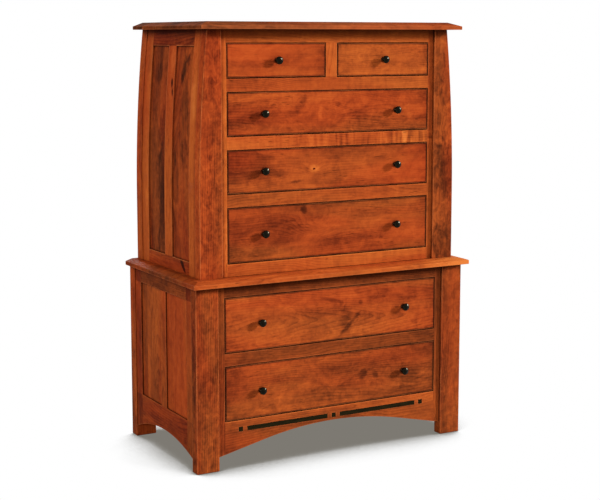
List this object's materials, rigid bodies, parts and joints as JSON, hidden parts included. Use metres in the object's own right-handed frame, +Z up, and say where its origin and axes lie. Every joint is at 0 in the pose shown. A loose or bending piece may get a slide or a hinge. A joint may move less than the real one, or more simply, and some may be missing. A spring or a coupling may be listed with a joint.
{
  "type": "chest on chest",
  "caption": "Wooden chest on chest: a bow-sided upper case with drawers on a wider case with deep drawers, framed side panels, arched apron with dark inlay, bevelled boards and dark round knobs",
  "frame": {"origin": "on the floor, at the centre of the footprint's bounding box", "axes": "+Z up, the drawers face -Y and slide out along it, +X to the right of someone facing the drawers"},
  "size_m": [1.219, 0.656, 1.662],
  "materials": {
    "stained_cherry": "satin",
    "drawer_wood": "satin",
    "web_wood": "matte",
    "ebony": "satin",
    "dark_bronze": "gloss"
  },
  "bodies": {
    "case": {"top_board": "stained_cherry", "waist_board": "stained_cherry", "upper_front_post_left": "stained_cherry", "upper_front_post_right": "stained_cherry", "upper_rear_post_left": "stained_cherry", "upper_rear_post_right": "stained_cherry", "lower_front_post_left": "stained_cherry", "lower_front_post_right": "stained_cherry", "lower_rear_post_left": "stained_cherry", "lower_rear_post_right": "stained_cherry", "upper_side_frame_left": "stained_cherry", "upper_side_frame_right": "stained_cherry", "upper_side_panel_left": "stained_cherry", "upper_side_panel_right": "stained_cherry", "lower_side_frame_left": "stained_cherry", "lower_side_frame_right": "stained_cherry", "lower_side_panel_left": "stained_cherry", "lower_side_panel_right": "stained_cherry", "upper_face_frame": "stained_cherry", "lower_face_frame": "stained_cherry", "upper_back_panel": "web_wood", "lower_back_panel": "web_wood", "upper_web_frame_1": "web_wood", "upper_web_frame_2": "web_wood", "upper_web_frame_3": "web_wood", "upper_web_frame_4": "web_wood", "lower_web_frame_1": "web_wood", "lower_web_frame_2": "web_wood", "inlay_square_left": "ebony", "inlay_bar_left": "ebony", "inlay_square_centre": "ebony", "inlay_bar_right": "ebony", "inlay_square_right": "ebony"},
    "drawer_1_left": {"drawer_1_left_front": "stained_cherry", "drawer_1_left_box": "drawer_wood", "drawer_1_left_knob": "dark_bronze"},
    "drawer_1_right": {"drawer_1_right_front": "stained_cherry", "drawer_1_right_box": "drawer_wood", "drawer_1_right_knob": "dark_bronze"},
    "drawer_2": {"drawer_2_front": "stained_cherry", "drawer_2_box": "drawer_wood", "drawer_2_knob_left": "dark_bronze", "drawer_2_knob_right": "dark_bronze"},
    "drawer_3": {"drawer_3_front": "stained_cherry", "drawer_3_box": "drawer_wood", "drawer_3_knob_left": "dark_bronze", "drawer_3_knob_right": "dark_bronze"},
    "drawer_4": {"drawer_4_front": "stained_cherry", "drawer_4_box": "drawer_wood", "drawer_4_knob_left": "dark_bronze", "drawer_4_knob_right": "dark_bronze"},
    "drawer_5": {"drawer_5_front": "stained_cherry", "drawer_5_box": "drawer_wood", "drawer_5_knob_left": "dark_bronze", "drawer_5_knob_right": "dark_bronze"},
    "drawer_6": {"drawer_6_front": "stained_cherry", "drawer_6_box": "drawer_wood", "drawer_6_knob_left": "dark_bronze", "drawer_6_knob_right": "dark_bronze"}
  },
  "joints": [
    {"name": "drawer_1_left_slide", "type": "slide", "parent": "case", "child": "drawer_1_left", "axis": [0, -1, 0], "range_m": [0, 0.4]},
    {"name": "drawer_1_right_slide", "type": "slide", "parent": "case", "child": "drawer_1_right", "axis": [0, -1, 0], "range_m": [0, 0.4]},
    {"name": "drawer_2_slide", "type": "slide", "parent": "case", "child": "drawer_2", "axis": [0, -1, 0], "range_m": [0, 0.4]},
    {"name": "drawer_3_slide", "type": "slide", "parent": "case", "child": "drawer_3", "axis": [0, -1, 0], "range_m": [0, 0.4]},
    {"name": "drawer_4_slide", "type": "slide", "parent": "case", "child": "drawer_4", "axis": [0, -1, 0], "range_m": [0, 0.4]},
    {"name": "drawer_5_slide", "type": "slide", "parent": "case", "child": "drawer_5", "axis": [0, -1, 0], "range_m": [0, 0.4]},
    {"name": "drawer_6_slide", "type": "slide", "parent": "case", "child": "drawer_6", "axis": [0, -1, 0], "range_m": [0, 0.4]}
  ]
}
